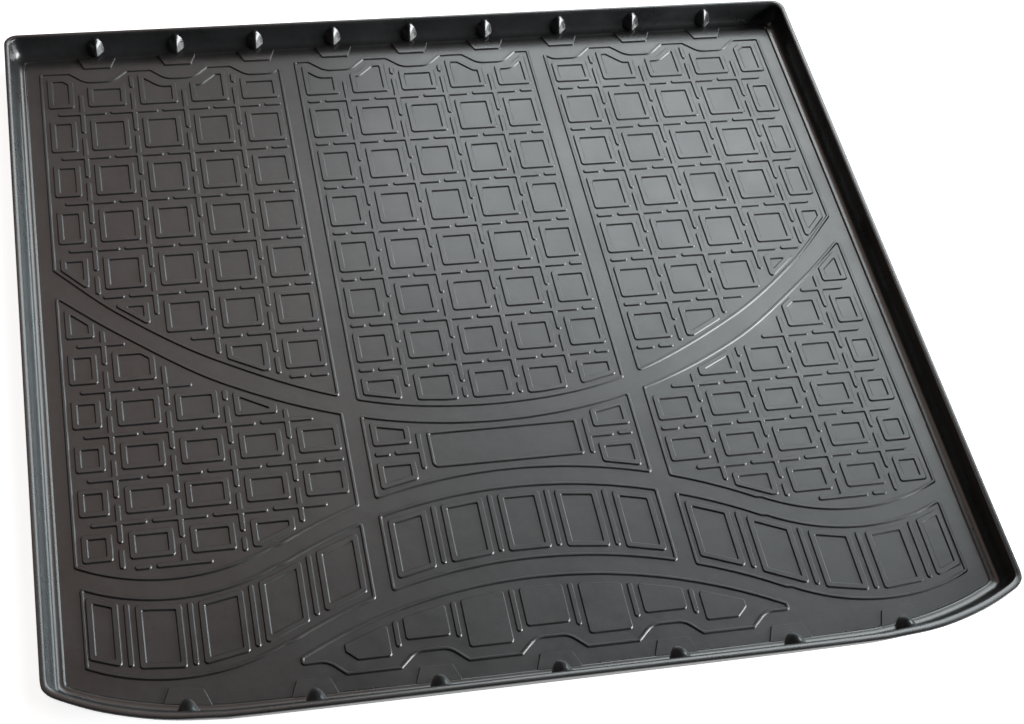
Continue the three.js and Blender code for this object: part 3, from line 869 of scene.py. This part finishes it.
# %% Short bars at the rear
REAR_BARS = {30.9: (818.6, 831), 231.9: (818.6, 834), 356.7: (818.6, 841)}

for x, (y0, y1) in REAR_BARS.items():
    for sign in (-1, 1):
        side = "middle" if x < CHANNEL_INNER else ("left" if sign < 0 else "right")
        add_bar(sign * x, y0, sign * x, y1, panels["upper_" + side])
print("short bars", 2 * len(REAR_BARS))

# %% [markdown]
# The middle panel in front of the band holds a plain oblong frame, left bare, with an upright rib and two
# small squares at each side. The wave panels hold upright bars between their squares, and the front panel
# holds solid plates instead of frames.

# %% Label frame, wave bars and front plates
LABEL_HALF, LABEL_MIDDLE, LABEL_DEPTH = 84, 226, 48
LABEL_RADII = [7, 3, 3, 3]
WAVE_BAR_GAP = {"rear": 9, "front": 13.5}
PLATE_GAP = {"rear": 13, "front": 15.5}
FRONT_BAR_RISE = 9
PLATE_CORNER = 11
PLATE_COLUMNS = range(-3, 4)

y0, y1 = LABEL_MIDDLE - LABEL_DEPTH / 2, LABEL_MIDDLE + LABEL_DEPTH / 2
label = [(-LABEL_HALF, y0), (LABEL_HALF, y0), (LABEL_HALF, y1), (-LABEL_HALF, y1)]
label_lines = panels["lower_middle"]
raise_form(rounded(label, LABEL_RADII), [shrunk(label, LABEL_RADII, BORDER_WIDTH)], label_lines)
for sign in (-1, 1):
    arm = (PITCH - RIB_SPACE_X) / 2
    arms = [arm if sign > 0 else 0, LABEL_DEPTH / 2, arm if sign < 0 else 0, LABEL_DEPTH / 2]
    add_cross(sign * MIDDLE_RIBS[-1], LABEL_MIDDLE, arms, label_lines)
    x0, x1 = sorted((sign * MIDDLE_DASH[0], sign * MIDDLE_DASH[1]))
    add_bar(x0, LABEL_MIDDLE, x1, LABEL_MIDDLE, label_lines)
    column = COLUMNS["middle"][0 if sign < 0 else -1]
    trims = [below(band_bottom, MARGIN, column), above(lower_front, MARGIN, column)]
    rear_row = LABEL_MIDDLE + ROW_GAP / 2, LABEL_MIDDLE + LABEL_DEPTH
    front_row = LABEL_MIDDLE - LABEL_DEPTH, LABEL_MIDDLE - ROW_GAP / 2
    for row in (rear_row, front_row):
        add_square(column, row, trims, label_lines)

for side, xs in RIBS.items():
    for x in xs:
        y0, y1 = wave_front(x) + WAVE_BAR_GAP["front"], wave(x) - WAVE_BAR_GAP["rear"]
        add_bar(x, y0, x, y1, panels["wave_" + side])

front_edge = recess_height(FRONT_PANEL_FRONT, 1, FRONT_BOSSES, FRONT_RECESS)[0]
for i in PLATE_COLUMNS:
    x0, x1 = i * PITCH - SQUARE / 2, i * PITCH + SQUARE / 2
    y0 = front_edge(i * PITCH) + PLATE_GAP["front"]
    square = [(x0, y0), (x1, y0), (x1, CROWN_Y), (x0, CROWN_Y)]
    if i == PLATE_COLUMNS[-1]:
        square[1:2] = [(x1 - PLATE_CORNER, y0), (x1, y0 + PLATE_CORNER)]
    if i == PLATE_COLUMNS[0]:
        square[:1] = [(x0, y0 + PLATE_CORNER), (x0 + PLATE_CORNER, y0)]
    plate = cut(square, *below(front_panel_rear, PLATE_GAP["rear"], (x0, x1)), 0)
    raise_form(rounded(tidy(plate), CORNER_RADIUS), [], panels["front"])
for i in PLATE_COLUMNS[:-1]:
    x = (i + 0.5) * PITCH
    y0 = front_edge(x) + PLATE_GAP["front"] + FRONT_BAR_RISE
    add_bar(x, y0, x, front_panel_rear(x) - PLATE_GAP["rear"], panels["front"])
print("points so far", len(points))

# %% [markdown]
# The wall is one skin from the foot on the floor to the lip, drawn as rows of points that run round the
# tray. The section gives each row: the share of the wall's lean at which it lies, and its height. From the
# floor it climbs a small step, runs along a nearly level ledge, turns up in a wide bend to the steep upper
# wall and ends in the lip. Where a boss swells from the wall, the columns of points draw together to its
# edges, so that its outline stays crisp. A boolean union of wall and bosses would leave a ragged seam.

# %% Sizes of the wall
FOOT_BOW = [(182.4, 2), (122.4, 6), (80.4, 13.5), (40.4, 25), (14.4, 35.5), (3.4, 41), (0, 48)]
RIM_BOW = [(206, 0), (147, 2.5), (104, 7.8), (56, 21.6), (18, 39), (4, 49.5), (0, 63)]
FLOOR_CORNER, RIM_CORNER = 5, 16
CORNER_STEPS = 8
BOW_STEPS = 4
BEHIND_BOW = 40
RIM_HEIGHT = RIM_TOP - FLOOR_TOP
LEDGE_REACH, LEDGE_HEIGHT = 0.555, 6.5
BOSS_TOP, BOSS_FOOT = 22.5, 2.6
SKIN = 2.8
LIP_EDGE = 2.6
STEP_SECTION = [(0, 0), (0.012, 0.2), (0.056, 1.25), (0.07, 1.5), (0.1, 1.65)]
LEDGE_START, LEDGE_CORNER, LEDGE_END = (0.17, 1.72), (0.6, 2.5), (0.714, 24)
LIP_SECTION = [
    (0.718, 26.6), (0.726, 27.6), (0.74, 28.3), (0.765, 28.8), (0.87, 29.2), (0.965, RIM_HEIGHT),
    (0.985, 29.35), (0.996, 29), (1, 28.5), (1, RIM_HEIGHT - LIP_EDGE + 0.5), (0.99, RIM_HEIGHT - LIP_EDGE),
]
SLOPE_STEPS, LEDGE_STEPS, STEEP_STEPS = 2, 16, 2


def bow_points(front, bow, half):
    """The right half of the front edge, from the middle outward, smoothed through its knots."""
    knots = [Vector((-half / 2, front)), Vector((0, front))]
    knots += [Vector((half - inward, front + back)) for inward, back in bow]
    knots.append(knots[-1] + Vector((0, BEHIND_BOW)))
    made = []
    for a, b, c, d in zip(knots, knots[1:], knots[2:], knots[3:]):
        for k in range(BOW_STEPS):
            t = k / BOW_STEPS
            square, cube = 2 * a - 5 * b + 4 * c - d, 3 * b - a - 3 * c + d
            made.append((2 * b + (c - a) * t + square * t**2 + cube * t**3) / 2)
    return made + [knots[-2]]


def half_outline(front, bow, half, rear, radius):
    corner = []
    for k in range(CORNER_STEPS + 1):
        a = math.pi / 2 * k / CORNER_STEPS
        corner.append(Vector((half - radius + radius * math.cos(a), rear - radius + radius * math.sin(a))))
    return bow_points(front, bow, half) + corner


foot_half = half_outline(FLOOR_FRONT, FOOT_BOW, FLOOR_HALF, FLOOR_REAR, FLOOR_CORNER)
rim_half = half_outline(RIM_FRONT, RIM_BOW, RIM_HALF, RIM_REAR, RIM_CORNER)
print("wall outline", len(foot_half), "points a side")

# %% [markdown]
# A boss is widest and fullest a little above the ledge, and it closes as a dome above and below that. The
# front ones are wide and round. The rear ones are narrower, and their two sides are nearly flat and meet
# in a ridge, so each shows one light side and one dark one.

# %% Bosses in the rows of the wall
BOSS_HALF = {"front": 12, "rear": 10}
BOSS_LEAST_HALF = 4
BOSS_BULGE = {"front": 18, "rear": 10}
BOSS_RIDGE = {"front": 2.4, "rear": 1.35}
BOSS_DOME = 2.2
BOSS_STEPS = 16
GAP_STEPS = 3
BOSS_GUARD = 0.7


def boss_dome(height):
    """The share of its full size that a boss has at some height above the floor."""
    reach = BOSS_TOP - LEDGE_HEIGHT if height > LEDGE_HEIGHT else LEDGE_HEIGHT - BOSS_FOOT
    share = min(abs(height - LEDGE_HEIGHT) / reach, 1)
    return math.sqrt(1 - share**BOSS_DOME)


def height_on(line, x):
    """The y of a line of points at some x, for the part where x only grows."""
    for a, b in zip(line, line[1:]):
        if a.x <= x <= b.x and b.x > a.x:
            return a.y + (b.y - a.y) * (x - a.x) / (b.x - a.x)
    return line[0].y


def boss_columns(centre, half, bulge, ridge, turns):
    return [(centre - half * math.cos(a), bulge * (1 - abs(math.cos(a)) ** ridge)) for a in turns]


def spread(start, end, count):
    """Plain columns between two places; the outer ones lie close, to keep the edges of the bosses crisp."""
    start, end = start + BOSS_GUARD, end - BOSS_GUARD
    return [(start + (end - start) * k / (count + 1), 0) for k in range(count + 2)]


FULL_TURN = [math.pi * k / BOSS_STEPS for k in range(BOSS_STEPS + 1)]
HALF_TURN = FULL_TURN[BOSS_STEPS // 2:]


def stretch(side, centres, dome, plain, end):
    """Columns from the middle boss outward to an end, as x and bulge."""
    half = max(BOSS_HALF[side] * dome, BOSS_LEAST_HALF)
    bulge = 0 if plain else BOSS_BULGE[side] * dome
    made = boss_columns(0, half, bulge, BOSS_RIDGE[side], HALF_TURN)
    for before, centre in zip(centres, centres[1:]):
        made += spread(before + half, centre - half, GAP_STEPS)
        made += boss_columns(centre, half, bulge, BOSS_RIDGE[side], FULL_TURN)
    return made + spread(centres[-1] + half, end, GAP_STEPS)


def wall_row(reach, height, aside=0, plain=False):
    """One row of points right round the tray, counterclockwise from the middle of the front."""
    line = []
    for foot, rim in zip(foot_half, rim_half):
        lean = rim - foot
        line.append(foot + lean * (reach + aside / lean.length))
    dome = boss_dome(height)
    first = next(i for i, p in enumerate(foot_half) if p.x > FRONT_BOSSES[-1] + 2 * BOSS_HALF["front"])
    front = stretch("front", [b for b in FRONT_BOSSES if b >= 0], dome, plain, line[first].x)
    rear = stretch("rear", [b for b in REAR_BOSSES if b >= 0], dome, plain, line[-1].x)
    row = [(x, height_on(line, x) + b) for x, b in front]
    row += [tuple(p) for p in line[first:]]
    row += [(x, line[-1].y - b) for x, b in reversed(rear)]
    return row + mirrored(row[1:-1])


def line_steps(start, end, steps):
    """Places on a straight line of the section, without its end."""
    return [tuple(p + (q - p) * k / steps for p, q in zip(start, end)) for k in range(steps)]


def bend_steps(start, corner, end, steps):
    """Places on a round bend of the section that leaves start and reaches end, without its end."""
    pairs = zip(line_steps(start, corner, steps), line_steps(corner, end, steps))
    return [tuple(p + (q - p) * k / steps for p, q in zip(a, b)) for k, (a, b) in enumerate(pairs)]


section = STEP_SECTION[:-1] + line_steps(STEP_SECTION[-1], LEDGE_START, SLOPE_STEPS)
section += bend_steps(LEDGE_START, LEDGE_CORNER, LEDGE_END, LEDGE_STEPS)
section += line_steps(LEDGE_END, LIP_SECTION[0], STEEP_STEPS) + LIP_SECTION
foot_row = wall_row(*section[0])
print("rows", len(section), "columns", len(foot_row))

# %% [markdown]
# The rows are joined into the inner skin, the lip, the back of the lip and the outside of the wall, and
# flat sheets close the floor and the underside.

# %% Skinning the wall and the floors
# Reach and height of the rows behind the lip and the wall, and how far each lies outside the inner skin.
OUTER_ROWS = [
    (0.73, RIM_HEIGHT - LIP_EDGE, SKIN + 0.8),
    (0.72, RIM_HEIGHT - LIP_EDGE - 1, SKIN),
    (LEDGE_REACH, LEDGE_HEIGHT - 2, SKIN),
    (0, 1 - FLOOR_TOP, SKIN / 2 + 0.8),
    (0, -FLOOR_TOP, SKIN / 2),
]


def row_points(row, height, normal=None):
    return [point(x, y, FLOOR_TOP + height, normal) for x, y in row]


rows = [row_points(foot_row, 0, (0, 0, 1))]
rows += [row_points(wall_row(reach, height), height) for reach, height in section[1:]]
rows += [row_points(wall_row(reach, height, aside, True), height) for reach, height, aside in OUTER_ROWS]
for lower, upper in zip(rows, rows[1:]):
    add_strip(upper, lower, SMOOTH)

add_sheet([foot_row] + channel_lines, FLOOR_TOP, True, SATIN)
for lines in panels.values():
    add_sheet(lines, FLOOR_TOP, True, SATIN)
add_sheet([wall_row(0, -FLOOR_TOP, SKIN / 2, True)], 0, False, SMOOTH)
print("faces", len(faces))

# %% [markdown]
# A pad lies at the foot of each boss. Its top is nearly level and it runs into the wall, as its own closed
# form. The front pads are satin like the tread, and the rear ones are smooth like the wall.

# %% Pads
PAD_WALL_HALF, PAD_TIP_HALF, PAD_LENGTH, PAD_ROOT = 23.8, 16.5, 16.5, 3
PAD_RADIUS, PAD_STEPS = 1.5, 3
PAD_SINK = 0.5
PAD_TIP_RISE, PAD_WALL_RISE = 1.9, 2


def add_pad(x, foot, away, finish):
    """A pad whose wall side lies on a foot line; away is 1 where the wall lies to the rear."""
    loop = [(-PAD_TIP_HALF, -PAD_LENGTH), (PAD_TIP_HALF, -PAD_LENGTH)]
    loop += [(PAD_WALL_HALF, PAD_ROOT), (-PAD_WALL_HALF, PAD_ROOT)]
    flat = rounded(loop, PAD_RADIUS, PAD_STEPS)
    placed = [(x + u, foot(x + u) + v * away) for u, v in flat]
    depths = [(v + PAD_LENGTH) / PAD_LENGTH for u, v in flat]
    rises = [(PAD_TIP_RISE + (PAD_WALL_RISE - PAD_TIP_RISE) * d + PAD_SINK) / RIB_HEIGHT for d in depths]
    if away < 0:
        placed, rises = placed[::-1], rises[::-1]
    rows = flank_rows(placed, 1, FLOOR_TOP - PAD_SINK, rises, finish)
    lean = (PAD_WALL_RISE - PAD_TIP_RISE) / PAD_LENGTH
    top = Vector((0, -lean * away, 1)).normalized()
    for number in rows[-1]:
        normals[number] = tuple(top)
    add_face(rows[-1], finish)
    add_face(rows[0][::-1], finish)


for x in REAR_BOSSES:
    add_pad(x, lambda u: FLOOR_REAR, 1, SMOOTH)
for x in FRONT_BOSSES:
    add_pad(x, lambda u: height_on(foot_half, abs(u)), -1, SATIN)
print("pads", len(REAR_BOSSES) + len(FRONT_BOSSES))

# %% [markdown]
# The gathered faces become one mesh. Points of the wall have no normal of their own yet: they take the
# mean of the faces around them. The finished liner stands for the CAD node and rides on its body.

# %% The liner
liner_mesh = bpy.data.meshes.new("rubber_liner")
placed_points = [(x * MM, (y + DRAWN_FROM) * MM, z * MM) for x, y, z in points]
liner_mesh.from_pydata(placed_points, [], faces)
for finish in FINISHES:
    liner_mesh.materials.append(finish)
liner_mesh.polygons.foreach_set("material_index", face_finishes)
liner_mesh.polygons.foreach_set("use_smooth", [True] * len(faces))
liner_mesh.update()
mean_normals = [tuple(v.normal) for v in liner_mesh.vertices]
full_normals = [given or mean for given, mean in zip(normals, mean_normals)]
liner_mesh.normals_split_custom_set_from_vertices(full_normals)
liner = add_object("rubber_liner", liner_mesh)
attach(liner, "root")
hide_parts("boot_liner")
print("triangles", sum(len(f) - 2 for f in faces))
